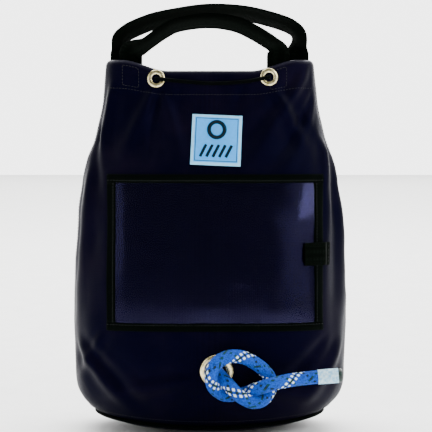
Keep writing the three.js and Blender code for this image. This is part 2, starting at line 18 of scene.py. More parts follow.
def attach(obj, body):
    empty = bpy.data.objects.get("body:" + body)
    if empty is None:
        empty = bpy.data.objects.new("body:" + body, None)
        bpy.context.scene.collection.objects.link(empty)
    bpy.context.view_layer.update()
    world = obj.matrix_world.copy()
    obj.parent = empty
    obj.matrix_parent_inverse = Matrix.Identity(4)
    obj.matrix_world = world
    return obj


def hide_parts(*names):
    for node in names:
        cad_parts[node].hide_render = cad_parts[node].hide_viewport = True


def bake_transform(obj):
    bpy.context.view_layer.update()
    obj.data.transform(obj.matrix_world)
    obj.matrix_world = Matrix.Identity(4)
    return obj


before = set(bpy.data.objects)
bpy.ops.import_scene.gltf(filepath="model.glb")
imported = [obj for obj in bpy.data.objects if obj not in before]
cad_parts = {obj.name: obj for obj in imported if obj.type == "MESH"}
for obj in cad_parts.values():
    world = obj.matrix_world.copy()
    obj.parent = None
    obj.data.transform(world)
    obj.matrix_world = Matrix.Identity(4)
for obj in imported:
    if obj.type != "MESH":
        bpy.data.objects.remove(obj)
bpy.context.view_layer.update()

MM = 0.001
Place = Callable[[float, float], Vector]
log = logging.getLogger("rope_bag")


class Side(Enum):
    """Front or back of the bag, by the sign of its outward direction."""

    FRONT = 1
    BACK = -1


class Slot(Enum):
    """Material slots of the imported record."""

    CLOTH = "coated_cloth"
    WEBBING = "webbing"
    BINDING = "binding"
    BRASS = "brass"
    LABEL = "label_cloth"
    VINYL = "clear_vinyl"
    HOOK = "hook_and_loop"
    DRAWCORD = "drawcord"
    ROPE = "rope"
    TAPE = "whipping_tape"


def smooth(t: float) -> float:
    """An S-curve from 0 to 1 over the same range of t."""
    t = min(max(t, 0.0), 1.0)
    return t * t * (3 - 2 * t)


def linear(code: str) -> tuple[float, float, float, float]:
    """An sRGB hex colour of six digits as opaque linear light."""
    parts = [int(code[i : i + 2], 16) / 255 for i in (0, 2, 4)]
    rgb = [p / 12.92 if p <= 0.04045 else ((p + 0.055) / 1.055) ** 2.4 for p in parts]
    return (rgb[0], rgb[1], rgb[2], 1.0)


def signed_power(v: float, power: float) -> float:
    """The size of v raised to a power, with v's own sign."""
    return math.copysign(abs(v) ** power, v)


def rounded(u: float, ends: float, faces: float) -> tuple[float, float]:
    """A rounded rectangle's outline at u, across and out, each from -1 to 1."""
    turn = 2 * math.pi * (u % 1)
    return signed_power(math.cos(turn), ends), signed_power(math.sin(turn), faces)


def bands(apart: float) -> float:
    """Scale of a wave texture whose bands are this many millimetres apart."""
    return 0.314 / (apart * MM)


def set_node(tree: Any, node: Any, values: dict) -> Any:
    """Sets a node's properties and inputs, and links what feeds it.

    Args:
        tree: the node's tree.
        node: the node.
        values: by property name, input name or input number, a value, or the node or socket that feeds
            the input, or None to leave it alone; "stops" holds the places and hex colours of a ramp.

    Returns:
        The node.
    """
    for key, value in values.items():
        if isinstance(value, bpy.types.Node):
            value = value.outputs[0]
        if isinstance(value, bpy.types.NodeSocket):
            tree.links.new(value, node.inputs[key])
        elif key == "stops":
            ramp = node.color_ramp.elements
            while len(ramp) < len(value):
                ramp.new(0.5)
            for element, (place, code) in zip(ramp, value):
                element.position, element.color = place, linear(code)
        elif isinstance(key, str) and hasattr(node, key):
            setattr(node, key, value)
        elif value is not None:
            node.inputs[key.replace("_", " ") if isinstance(key, str) else key].default_value = value
    return node


def add_node(tree: Any, kind: str, values: dict | None = None) -> Any:
    """Adds one shader node of a kind, with its values and links."""
    return set_node(tree, tree.nodes.new("ShaderNode" + kind), values or {})


class Surface:
    """A material with one Principled shader, while its nodes are being added."""

    def __init__(self, name: str, constants: dict | None = None) -> None:
        """Starts the material.

        Args:
            name: what the material is and how its surface was made.
            constants: values set on the shader's own sockets.
        """
        self.material = bpy.data.materials.new(name)
        self.material.use_nodes = True
        self.tree = self.material.node_tree
        self.tree.nodes.clear()
        self.shader = add_node(self.tree, "BsdfPrincipled", constants)
        self.add("OutputMaterial", Surface=self.shader)
        coords = self.add("TexCoord")
        self.uv, self.place = coords.outputs["UV"], coords.outputs["Object"]

    def add(self, kind: str, *feeds: Any, **values: Any) -> Any:
        """Adds a node, with what feeds its inputs from the first on, and its values by name."""
        return add_node(self.tree, kind, {**values, **dict(enumerate(feeds))})

    def finish(self, colour: Any, grain: Any, rough: tuple[float, float], relief: Any,
               bump: tuple[float, float]) -> Any:
        """Links colour, roughness and bump to the shader.

        Args:
            colour: what gives the base colour, or None where it is a constant.
            grain: what drives the roughness, or None where it is a constant.
            rough: roughness at the grain's 0 and at its 1.
            relief: what drives the bump.
            bump: the bump's strength, and its distance in metres.

        Returns:
            The material.
        """
        spread = None
        if grain is not None:
            spread = self.add("MapRange", grain, To_Min=rough[0], To_Max=rough[1])
        raised = self.add("Bump", Strength=bump[0], Distance=bump[1], Height=relief)
        set_node(self.tree, self.shader, {"Base Color": colour, "Roughness": spread, "Normal": raised})
        return self.material


# ---- the bag's form ----
@dataclass(frozen=True)
class Fold:
    """One crease of the cloth, from one point of the unrolled wall to another, in millimetres."""

    start: tuple[float, float]
    end: tuple[float, float]
    width: float
    height: float

    def rise(self, along: float, up: float) -> float:
        """How far the crease lifts the cloth at an unrolled place and a height."""
        (x0, z0), (x1, z1) = self.start, self.end
        dx, dz = x1 - x0, z1 - z0
        t = ((along - x0) * dx + (up - z0) * dz) / (dx * dx + dz * dz)
        if not -0.25 < t < 1.25:
            return 0.0
        away = math.hypot(along - x0 - t * dx, up - z0 - t * dz) / (self.width * (0.75 + 0.5 * t))
        if away > 3:
            return 0.0
        taper = smooth((t + 0.2) / 0.35) * smooth((1.25 - t) / 0.7)
        crease = math.exp(-away * away) - 0.35 * math.exp(-((away - 1.7) ** 2))
        return self.height * taper * crease


@dataclass
class BagForm:
    """The outer surface of the standing sack, with the way its cloth sags and creases."""

    width: float = 304
    depth: float = 160
    height: float = 410
    corner_power: float = 3
    seam_height: float = 9
    seam_rise: float = 12
    seam_fade: float = 60
    front_dip: float = 12
    back_dip: float = 16
    rim_fade: float = 70
    # share of the height, then of the half width and of the half depth there
    stations: tuple[tuple[float, float, float], ...] = (
        (0, 0.38, 0.5), (0.0032, 0.5, 0.6), (0.0085, 0.66, 0.72), (0.022, 0.83, 0.82), (0.046, 0.91, 0.88),
        (0.078, 0.955, 0.935), (0.11, 0.98, 0.97), (0.146, 0.992, 0.99), (0.241, 1, 1),
        (0.371, 0.99, 0.975), (0.566, 0.967, 0.85), (0.663, 0.934, 0.73), (0.729, 0.9, 0.63),
        (0.793, 0.836, 0.53), (0.859, 0.8, 0.45), (0.923, 0.778, 0.39), (1, 0.757, 0.35),
    )
    folds: tuple[Fold, ...] = ()
    pocket: tuple[float, float, float, float] = (-122, 132, 98, 296)  # left, right, low, top
    rings: tuple[tuple[float, float, float], ...] = ((7.8, 72.5, 16), (-58.6, 398, 9), (65.6, 398, 9))
    arc: list[float] = field(default_factory=list)

    def __post_init__(self) -> None:
        """Measures the outline at the widest height, so places can be unrolled."""
        outline = [self.plan(2 * math.pi * i / 360) for i in range(361)]
        self.arc = [0.0]
        for last, here in zip(outline, outline[1:]):
            self.arc.append(self.arc[-1] + math.dist(last, here))

    def plan(self, angle: float) -> tuple[float, float]:
        """The widest outline at an angle, in millimetres."""
        return self.power(math.cos(angle)) * self.width / 2, self.power(math.sin(angle)) * self.depth / 2

    def power(self, v: float) -> float:
        """A share of the half width or depth, from a cosine or sine."""
        return signed_power(v, 2 / self.corner_power)

    @property
    def girth(self) -> float:
        """Length round the widest outline."""
        return self.arc[-1]

    def unrolled(self, angle: float) -> float:
        """Distance round the wall from the front's middle, positive to the right."""
        turn = (angle / (2 * math.pi)) % 1 * 360
        i = min(int(turn), 359)
        run = self.arc[i] + (self.arc[i + 1] - self.arc[i]) * (turn - i)
        return (self.girth / 4 - run + self.girth / 2) % self.girth - self.girth / 2

    def angle_of(self, along: float) -> float:
        """The angle at a distance round the wall from the front's middle."""
        run = (self.girth / 4 - along) % self.girth
        i = max(bisect_left(self.arc, run) - 1, 0)
        return math.radians(i + (run - self.arc[i]) / (self.arc[i + 1] - self.arc[i]))

    def station(self, height: float, column: int) -> float:
        """Share of the half width (column 1) or half depth (column 2) at a height."""
        rows = self.stations
        share = min(max(height / self.height, 0.0), 1.0)
        i = 0
        while i < len(rows) - 2 and share > rows[i + 1][0]:
            i += 1
        s0, s1, s2, s3 = rows[max(i - 1, 0)], rows[i], rows[i + 1], rows[min(i + 2, len(rows) - 1)]
        span = s2[0] - s1[0]
        m1 = (s2[column] - s0[column]) / (s2[0] - s0[0]) * span
        m2 = (s3[column] - s1[column]) / (s3[0] - s1[0]) * span
        t = (share - s1[0]) / span
        return (
            (2 * t**3 - 3 * t**2 + 1) * s1[column]
            + (t**3 - 2 * t**2 + t) * m1
            + (3 * t**2 - 2 * t**3) * s2[column]
            + (t**3 - t**2) * m2
        )

    def half_width(self, height: float) -> float:
        """Half of the width at a height."""
        return self.station(height, 1) * self.width / 2

    def half_depth(self, height: float) -> float:
        """Half of the depth at a height."""
        return self.station(height, 2) * self.depth / 2

    def lift(self, across: float, out: float, height: float) -> float:
        """How far a point of the wall lies above its nominal height."""
        low = min(height / self.seam_height, 1) * (1 - smooth((height - self.seam_height) / self.seam_fade))
        high = smooth((height - self.height + self.rim_fade) / self.rim_fade)
        dip = self.front_dip if out > 0 else self.back_dip
        return self.seam_rise * across**2 * low - dip * smooth((0.85 - abs(across)) / 0.45) * high

    def bare(self, angle: float, height: float) -> Vector:
        """A point of the wall before creases, in millimetres."""
        across, out = self.power(math.cos(angle)), self.power(math.sin(angle))
        level = height + self.lift(across, out, height)
        return Vector((self.half_width(height) * across, -self.half_depth(height) * out, level))

    def normal(self, angle: float, height: float) -> Vector:
        """Outward direction of the wall."""
        along = self.bare(angle + 0.004, height) - self.bare(angle - 0.004, height)
        up = self.bare(angle, height + 0.5) - self.bare(angle, max(height - 0.5, 0))
        return up.cross(along).normalized()

    def crease(self, angle: float, height: float) -> float:
        """How far creases and sag push the cloth out at a place, in millimetres."""
        round_wall = self.unrolled(angle)
        along = round_wall * self.station(height, 1)
        total = sum(fold.rise(along, height) for fold in self.folds)
        total += 0.8 * math.exp(-(((abs(round_wall) - self.girth / 4) / 5) ** 4))
        turn = angle + 0.3
        spot = Vector((1.9 * math.cos(turn), 1.9 * math.sin(turn), height / 62))
        total += 2.2 * noise.noise(spot) + 0.9 * noise.noise(spot * 2.3 + Vector((7, 3, 1)))
        ends = smooth((height - self.seam_height) / 22) * (1 - 0.55 * smooth((height - 370) / 30))
        return total * ends * self.calm(along, height)

    def calm(self, along: float, height: float) -> float:
        """A factor that keeps the cloth flatter under the stiff window pocket and the grommets."""
        left, right, low, top = self.pocket
        window = smooth((along - left) / 20) * smooth((right - along) / 20)
        window *= smooth((height - low) / 22) * smooth((top - height) / 22)
        ring = 1.0
        for x, z, reach in self.rings:
            ring *= smooth((math.hypot(along - x, height - z) - reach) / (1.4 * reach))
        return (1 - 0.62 * window) * ring

    def at(self, angle: float, height: float, offset: float = 0.0) -> Vector:
        """A point of the creased wall, moved out by an offset, in metres."""
        out = offset + self.crease(angle, height)
        return (self.bare(angle, height) + self.normal(angle, height) * out) * MM

    def angle_at(self, x: float, height: float, side: Side = Side.FRONT) -> float:
        """The angle of a point of the front or back with a given X."""
        share = min(max(x / self.half_width(height), -1.0), 1.0)
        return side.value * math.acos(signed_power(share, self.corner_power / 2))

    def front(self, x: float, height: float, offset: float = 0.0) -> Vector:
        """A point of the front wall by X and height, in metres."""
        return self.at(self.angle_at(x, height), height, offset)

    def row(self, spots: Sequence[tuple[float, float]], offset: float = 0.1) -> tuple[list, list]:
        """Points of the wall and their outward directions, from (angle, height) pairs."""
        return [self.at(*spot, offset) for spot in spots], [self.normal(*spot) for spot in spots]

    def panel_row(self, spots: Sequence[tuple[float, float]], offset: float = 0.1,
                  side: Side = Side.FRONT) -> tuple[list, list]:
        """The same on the front or the back, from (x, height) pairs."""
        return self.row([(self.angle_at(x, z, side), z) for x, z in spots], offset)


FOLDS = tuple(Fold((x0, z0), (x1, z1), width, height) for x0, z0, x1, z1, width, height in (
    (-62, 384, -96, 300, 7, 3.2), (-58, 380, -66, 296, 5, -2.6), (-52, 380, -30, 302, 6, 2.4),
    (-34, 396, -30, 350, 5, -1.6), (0, 396, 4, 356, 6, 1.4), (36, 396, 30, 352, 5, -1.5),
    (112, 398, 44, 300, 8, 3.6), (118, 366, 70, 292, 7, -3.0), (72, 382, 104, 318, 6, 2.6),
    (-112, 380, -132, 292, 8, 3.2), (-134, 330, -128, 262, 8, -2.8), (-142, 280, -152, 150, 10, 3.4),
    (138, 316, 132, 250, 8, 3.0), (152, 262, 146, 120, 10, -3.2), (164, 300, 168, 170, 9, 3.0),
    (-170, 300, -172, 120, 9, -2.8), (-24, 62, -104, 44, 8, 2.4), (-12, 48, -46, 18, 7, -2.0),
    (36, 58, 118, 40, 9, 2.6), (-150, 98, -96, 34, 8, 3.0), (-128, 88, -70, 26, 7, -2.4),
    (152, 96, 102, 30, 8, 3.0), (128, 104, 84, 60, 7, -2.2), (-120, 108, -150, 60, 6, 1.8),
    (230, 380, 252, 250, 9, 3.4), (258, 360, 300, 230, 8, -3.0), (300, 390, 286, 300, 7, 2.8),
    (330, 330, 350, 160, 11, 3.0), (-230, 384, -262, 260, 9, 3.2), (-286, 370, -268, 250, 8, -2.8),
    (-330, 300, -300, 120, 11, 3.2), (-240, 150, -330, 60, 9, 3.0), (240, 140, 330, 50, 9, -2.6),
    (-366, 220, -330, 60, 9, -2.6),
))


# ---- mesh making ----
def finish_mesh(bm: Any, name: str) -> Any:
    """Turns a bmesh into a smooth-shaded object at the origin."""
    name = name.replace(" ", "_")
    mesh = bpy.data.meshes.new(name)
    for face in bm.faces:
        face.smooth = True
    bm.to_mesh(mesh)
    bm.free()
    piece = bpy.data.objects.new(name, mesh)
    bpy.context.scene.collection.objects.link(piece)
    return piece


def mapped_grid(name: str, across: int, along: int, place: Place, size: tuple[float, float],
                wrap: bool = False, caps: bool = False) -> Any:
    """A grid bent onto a surface, with a UV map in metres.

    Args:
        name: the piece's name.
        across: cells in u.
        along: cells in v.
        place: point of the surface at u and v, each from 0 to 1.
        size: width and length that the UV map covers, in metres.
        wrap: whether u closes on itself.
        caps: whether the two ends in v are closed by faces.

    Returns:
        The object.
    """
    bm = bmesh.new()
    layer = bm.loops.layers.uv.new("UVMap")
    bmesh.ops.create_grid(bm, x_segments=across, y_segments=along, size=0.5, calc_uvs=True)
    for face in bm.faces:
        for loop in face.loops:
            loop[layer].uv = ((loop.vert.co.x + 0.5) * size[0], (loop.vert.co.y + 0.5) * size[1])
    for vert in bm.verts:
        vert.co = place(vert.co.x + 0.5, vert.co.y + 0.5)
    if wrap:
        bmesh.ops.remove_doubles(bm, verts=bm.verts, dist=1e-6)
    if caps:
        edges = [edge for edge in bm.edges if edge.is_boundary]
        bmesh.ops.holes_fill(bm, edges=edges, sides=0)
    bmesh.ops.recalc_face_normals(bm, faces=bm.faces)
    return finish_mesh(bm, name)


def thicken(piece: Any, thickness: float, offset: float = -1.0) -> None:
    """Gives a sheet its thickness in metres, on the inside unless told otherwise."""
    solid = piece.modifiers.new("cloth", "SOLIDIFY")
    solid.thickness, solid.offset, solid.use_even_offset = thickness, offset, False


def facing_out(piece: Any, middle: Vector) -> None:
    """Turns a sheet's faces away from a point inside the bag."""
    mesh = piece.data
    total = sum((f.center - middle).dot(f.normal) * f.area for f in mesh.polygons)
    if total < 0:
        mesh.flip_normals()


def dress(piece: Any, material: Any, slot: Slot, body: str = "root", stands_for: Sequence[str] = ()) -> Any:
    """Gives a finished piece its material and its body, and hides the nodes it replaces."""
    piece.data.materials.clear()
    piece.data.materials.append(material)
    if stands_for:
        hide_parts(*stands_for)
    if body:
        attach(piece, body)
    log.info("%s on %s", piece.name, body)
    return piece


def catmull(points: Sequence[Vector], steps: int) -> list[Vector]:
    """A smooth curve through points, as many short steps for each stretch."""
    line = []
    for i in range(len(points) - 1):
        p0, p1 = points[max(i - 1, 0)], points[i]
        p2, p3 = points[i + 1], points[min(i + 2, len(points) - 1)]
        for k in range(steps):
            t = k / steps
            line.append(0.5 * (2 * p1 + (p2 - p0) * t + (2 * p0 - 5 * p1 + 4 * p2 - p3) * t * t
                               + (3 * p1 - p0 - 3 * p2 + p3) * t**3))
    line.append(points[-1].copy())
    return line


def evenly(line: Sequence[Vector], count: int) -> list[Vector]:
    """The same line, as count + 1 points the same distance apart."""
    runs = [0.0]
    for a, b in zip(line, line[1:]):
        runs.append(runs[-1] + (b - a).length)
    out = []
    for k in range(count + 1):
        run = runs[-1] * k / count
        i = min(max(bisect_left(runs, run) - 1, 0), len(line) - 2)
        span = runs[i + 1] - runs[i] or 1.0
        out.append(line[i].lerp(line[i + 1], (run - runs[i]) / span))
    return out


def line_length(line: Sequence[Vector]) -> float:
    """Length of a line of points."""
    return sum((b - a).length for a, b in zip(line, line[1:]))


def carried_frames(line: Sequence[Vector]) -> list[tuple[Vector, Vector]]:
    """Two directions square to a line at each point, carried along without twist."""
    ahead, behind = line[1:] + line[-1:], line[:1] + line[:-1]
    tangents = [(b - a).normalized() for a, b in zip(behind, ahead)]
    side = tangents[0].orthogonal().normalized()
    frames = []
    for tangent in tangents:
        side = (side - tangent * side.dot(tangent)).normalized()
        frames.append((side.copy(), tangent.cross(side).normalized()))
    return frames


def tube(name: str, line: Sequence[Vector], radius: Callable[[float, float], float], sides: int) -> Any:
    """A closed tube along a line; radius(turn, run) gives its radius in metres, turn from 0 to 1."""
    frames = carried_frames(line)
    last, length = len(line) - 1, line_length(line)

    def place(u: float, v: float) -> Vector:
        """A point of the tube's skin."""
        i = round(v * last)
        a, b = frames[i]
        turn = 2 * math.pi * (u % 1)
        return line[i] + (a * math.cos(turn) + b * math.sin(turn)) * radius(u % 1, v * length)

    return mapped_grid(name, sides, last, place, (1.0, length), wrap=True, caps=True)


def spun(name: str, profile: Sequence[tuple[float, float]], steps: int, matrix: Matrix) -> Any:
    """A ring turned about its own Z from a closed profile of (radius, height) in millimetres."""
    bm = bmesh.new()
    verts = [bm.verts.new((r * MM, 0, z * MM)) for r, z in profile]
    edges = [bm.edges.new((verts[i], verts[(i + 1) % len(verts)])) for i in range(len(verts))]
    bmesh.ops.spin(bm, geom=verts + edges, cent=(0, 0, 0), axis=(0, 0, 1), angle=2 * math.pi,
                   steps=steps, use_merge=True)
    bmesh.ops.remove_doubles(bm, verts=bm.verts, dist=1e-6)
    bmesh.ops.recalc_face_normals(bm, faces=bm.faces)
    bmesh.ops.transform(bm, matrix=matrix, verts=bm.verts)
    return finish_mesh(bm, name)


def stitches(name: str, line: Sequence[Vector], out: Sequence[Vector], pitch: float = 3.4,
             thread: float = 0.55) -> Any:
    """A row of lockstitches lying on a surface.

    Args:
        name: the row's name.
        line: points along the row, in metres.
        out: the surface's outward direction at each point.
        pitch: distance from stitch to stitch, in millimetres.
        thread: thickness of the thread, in millimetres.

    Returns:
        The object.
    """
    count = max(int(line_length(line) / (pitch * MM)), 2)
    spots, ups = evenly(line, count), []
    for i in range(count + 1):
        ups.append(out[min(int(i / count * (len(out) - 1) + 0.5), len(out) - 1)])
    bm = bmesh.new()
    for a, b, up in zip(spots, spots[1:], ups):
        along = (b - a).normalized()
        side = up.cross(along).normalized()
        turn = Matrix((along, side, along.cross(side))).transposed().to_4x4()
        size = Matrix.Diagonal((0.40 * pitch * MM, thread * MM / 2, thread * MM / 2, 1))
        shift = Matrix.Translation((a + b) / 2 + up * thread * MM * 0.2)
        bmesh.ops.create_icosphere(bm, subdivisions=1, radius=1, matrix=shift @ turn @ size)
    return finish_mesh(bm, name)


def outline(x0: float, z0: float, x1: float, z1: float, steps: int) -> list[tuple[float, float]]:
    """Pairs round a rectangle from one corner, with as many steps on each side."""
    corners = ((x0, z0), (x1, z0), (x1, z1), (x0, z1), (x0, z0))
    return [spot for a, b in zip(corners, corners[1:]) for spot in between(a, b, steps)]


def between(a: tuple[float, float], b: tuple[float, float], steps: int = 24) -> list[tuple[float, float]]:
    """Evenly spaced pairs from a to b."""
    return [(a[0] + (b[0] - a[0]) * i / steps, a[1] + (b[1] - a[1]) * i / steps) for i in range(steps + 1)]


# ---- finishes ----
@dataclass(frozen=True)
class PackCloth:
    """Nylon pack cloth, plain woven and coated with urethane.

    The coating gives a dark satin with a soft violet sheen, partly painted into the colour as lighter violet
    patches; the weave shows as a fine grid, with a painted highlight on its high spots.
    """

    name: str = "pack cloth, woven and urethane coated"
    deep: str = "010108"
    # lighter violet that the cloud noise lays on in patches: painted sheen
    painted_sheen: str = "0b0710"
    raised: str = "02020a"  # painted highlight that the weave's high spots add to the colour
    thread: float = 1.6  # real threads are 0.6 mm apart, drawn coarser so that they show

    def build(self) -> Any:
        """Makes the material."""
        s = Surface(self.name, {
            "Specular IOR Level": 0.13, "Specular Tint": linear("4a46a8"), "IOR": 1.5, "Sheen Weight": 0.01,
            "Sheen Roughness": 0.45, "Sheen Tint": linear("6a6288")})
        warp, weft = (s.add("TexWave", s.uv, bands_direction=way, Scale=bands(self.thread), Distortion=0.6,
                            Detail=1.0, Detail_Scale=0.4).outputs["Fac"] for way in "XY")
        weave = s.add("Math", warp, weft, operation="MULTIPLY")
        cloud = s.add("TexNoise", s.place, Scale=14.0, Detail=4.0, Roughness=0.6)
        grain = s.add("TexNoise", s.place, Scale=420.0, Detail=2.0)
        # the cloud noise lays patches of painted sheen over the deep colour
        tone = s.add("ValToRGB", cloud, stops=[(0.46, self.deep), (0.8, self.painted_sheen)])
        # the weave's high spots get a painted highlight
        lit = add_node(s.tree, "Mix", {"data_type": "RGBA", "blend_type": "ADD", 0: weave, 6: tone,
                            7: linear(self.raised)})
        return s.finish(lit.outputs[2], grain, (0.42, 0.6), weave, (0.16, 0.0004))


@dataclass(frozen=True)
class WovenTape:
    """Polyester or nylon tape off a narrow loom: matt, with picks across and ribs along."""

    name: str
    dark: str
    light: str
    rib: float  # distance between ribs along the tape, in millimetres
    pick: float  # distance between picks across it, drawn coarser than the real 0.8 mm
    depth: float = 0.0005

    def build(self) -> Any:
        """Makes the material."""
        s = Surface(self.name, {
            "Specular IOR Level": 0.06, "Specular Tint": linear("5c8a70"), "Sheen Weight": 0.01,
            "Sheen Roughness": 0.5, "Sheen Tint": linear("5f7468")})
        ribs = s.add("TexWave", s.uv, Scale=bands(self.rib), bands_direction="X")
        picks = s.add("TexWave", s.uv, Scale=bands(self.pick), bands_direction="Y", Distortion=0.4)
        weave = s.add("Math", ribs.outputs["Fac"], picks.outputs["Fac"], operation="MULTIPLY")
        fuzz = s.add("TexNoise", s.place, Scale=260.0, Detail=3.0)
        # darker between the ribs and picks: painted shade, with random fuzz in the tone
        groove_shade_and_fuzz = s.add("Math", weave, fuzz, operation="MULTIPLY")
        tone = s.add("ValToRGB", groove_shade_and_fuzz, stops=[(0.05, self.dark), (0.5, self.light)])
        return s.finish(tone, fuzz, (0.62, 0.88), weave, (0.7, self.depth))


@dataclass(frozen=True)
class SmoothFinish:
    """A smooth or fine-grained finish whose colour drifts a little between two shades."""

    name: str
    dark: str
    light: str
    rough: tuple[float, float]
    grain: float  # size of the grain, in millimetres
    depth: float = 0.0002
    extras: tuple[tuple[str, float], ...] = ()
    detail: float = 3.0
    coarse: float = 0.5
    shades: tuple[float, float] = (0.35, 0.65)  # where in the grain the two shades lie
    relief: float = 0.3

    def build(self) -> Any:
        """Makes the material."""
        s = Surface(self.name, dict(self.extras))
        grain = s.add("TexNoise", s.place, Scale=1 / (self.grain * MM), Detail=self.detail,
                      Roughness=self.coarse)
        tone = s.add("ValToRGB", grain, stops=list(zip(self.shades, (self.dark, self.light))))
        return s.finish(tone, grain, self.rough, grain, (self.relief, self.depth))


@dataclass(frozen=True)
class PlatedBrass(SmoothFinish):
    """Stamped brass with a thin pale plating, tumbled smooth: bright, with faint handling marks."""

    name: str = "brass, stamped and pale plated"
    dark: str = "a39663"
    light: str = "f3e6b4"
    rough: tuple[float, float] = (0.16, 0.34)
    grain: float = 1000 / 180
    extras: tuple[tuple[str, float], ...] = (("Metallic", 1.0),)
    detail: float = 5.0
    coarse: float = 0.65
    shades: tuple[float, float] = (0.34, 0.56)
    relief: float = 0.15


@dataclass(frozen=True)
class WovenLabel:
    """Polyester damask label, woven with a pale edge and a thin dark line inside it."""

    width: float
    height: float
    name: str = "polyester damask, woven label"
    ground: str = "36a6fa"
    edge: str = "8ed6ff"
    line: str = "10406e"
    edge_width: float = 3.2
    line_from: float = 4.2
    line_to: float = 5.0
    reach: float = 10  # how far in from the edge the colours are laid out, in millimetres
    pick: float = 1.1  # real picks are 0.2 mm apart, drawn coarser so that they show

    def build(self) -> Any:
        """Makes the material."""
        s = Surface(self.name, {"Specular IOR Level": 0.2, "Sheen Weight": 0.05, "Sheen Roughness": 0.4})
        axes, gaps = s.add("SeparateXYZ", s.uv), []
        for k, size in enumerate((self.width, self.height)):
            far = s.add("Math", size * MM, axes.outputs[k], operation="SUBTRACT")
            gaps.append(s.add("Math", axes.outputs[k], far, operation="MINIMUM"))
        rim = s.add("Math", gaps[0], gaps[1], operation="MINIMUM")
        inset = s.add("Math", rim, self.reach * MM, operation="DIVIDE")
        stops = ((0.0, self.edge), (self.edge_width, self.ground), (self.line_from, self.line),
                 (self.line_to, self.ground))
        rings = s.add("ValToRGB", inset, stops=[(at / self.reach, code) for at, code in stops])
        rings.color_ramp.interpolation = "CONSTANT"
        picks = s.add("TexWave", s.uv, Scale=bands(self.pick), bands_direction="Y")
        fuzz = s.add("TexNoise", s.place, Scale=300.0, Detail=3.0)
        shade = s.add("MapRange", fuzz, To_Min=0.84, To_Max=1.08)
        tinted = s.add("VectorMath", rings, operation="SCALE", Scale=shade)
        return s.finish(tinted, fuzz, (0.5, 0.75), picks.outputs["Fac"], (0.4, 0.0003))


@dataclass(frozen=True)
class Braid:
    """How the rope's sheath is plaited: as many strands one way round as the other."""

    strands: int = 12
    pitch: float = 50.0  # length of one turn of a strand, in millimetres

    def cell(self, turn: float, run: float) -> float:
        """How proud the strand on top stands at a place, from 0 between strands to 1."""
        a = self.strands * (turn + run / (self.pitch * MM))
        b = self.strands * (turn - run / (self.pitch * MM))
        return math.sqrt(abs(math.sin(math.pi * a) * math.sin(math.pi * b)))


@dataclass(frozen=True)
class RopeSheath:
    """Polyester sheath, plaited over a core: blue strands with white and dark green tracers."""

    braid: Braid
    name: str = "polyester, plaited rope sheath"
    ground: str = "0250c4"
    shade: str = "022766"
    # which way round a tracer goes, its strand and its colour
    tracers: tuple[tuple[int, int, str], ...] = (
        (0, 2, "e2f2f0"), (0, 3, "04222a"), (0, 4, "e2f2f0"), (0, 9, "0a3a3c"), (1, 5, "04222a"),
        (1, 11, "0a3a3c"),
    )

    def build(self) -> Any:
        """Makes the material."""
        s = Surface(self.name, {"Specular IOR Level": 0.2, "Sheen Weight": 0.05, "Sheen Roughness": 0.4,
                                "Roughness": 0.72})
        count = self.braid.strands
        axes = s.add("SeparateXYZ", s.uv)
        turn, run = (s.add("Math", axes.outputs[k], times, operation="MULTIPLY")
                     for k, times in enumerate((float(count), count / (self.braid.pitch * MM))))
        floors, index = [], []
        for way in ("ADD", "SUBTRACT"):
            slanted = s.add("Math", turn, run, operation=way)
            floors.append(s.add("Math", slanted, operation="FLOOR"))
            index.append(s.add("Math", floors[-1], float(count), operation="FLOORED_MODULO"))
        both = s.add("Math", floors[0], floors[1], operation="ADD")
        on_top = s.add("Math", both, 2.0, operation="FLOORED_MODULO")
        under = s.add("Math", 1.0, on_top, operation="SUBTRACT")
        fibre = s.add("TexNoise", s.place, Scale=650.0, Detail=3.0)
        colour = s.add("ValToRGB", fibre, stops=[(0.3, self.shade), (0.62, self.ground)])
        for way, strand, code in self.tracers:
            same = s.add("Math", index[way], float(strand), 0.2, operation="COMPARE")
            mask = s.add("Math", same, (on_top, under)[way], operation="MULTIPLY")
            traced = {"data_type": "RGBA", 0: mask, 6: colour, 7: linear(code)}
            colour = add_node(s.tree, "Mix", traced).outputs[2]
        return s.finish(colour, None, (0, 0), fibre, (0.5, 0.0003))


@dataclass(frozen=True)
class ClearVinyl:
    """Plasticised PVC sheet, calendered and pressed: clear and glossy, with soft ripples."""

    name: str = "PVC sheet, clear and press polished"
    tint: str = "d9d4e4"
    gloss: str = "706ea8"

    def build(self) -> Any:
        """Makes the material."""
        s = Surface(self.name, {"Base Color": linear(self.tint), "IOR": 1.45, "Transmission Weight": 1.0,
                                "Specular Tint": linear(self.gloss)})
        ripple = s.add("TexNoise", s.place, Scale=16.0, Detail=2.0)
        haze = s.add("TexNoise", s.place, Scale=90.0, Detail=4.0)
        return s.finish(None, haze, (0.05, 0.2), ripple, (0.25, 0.004))


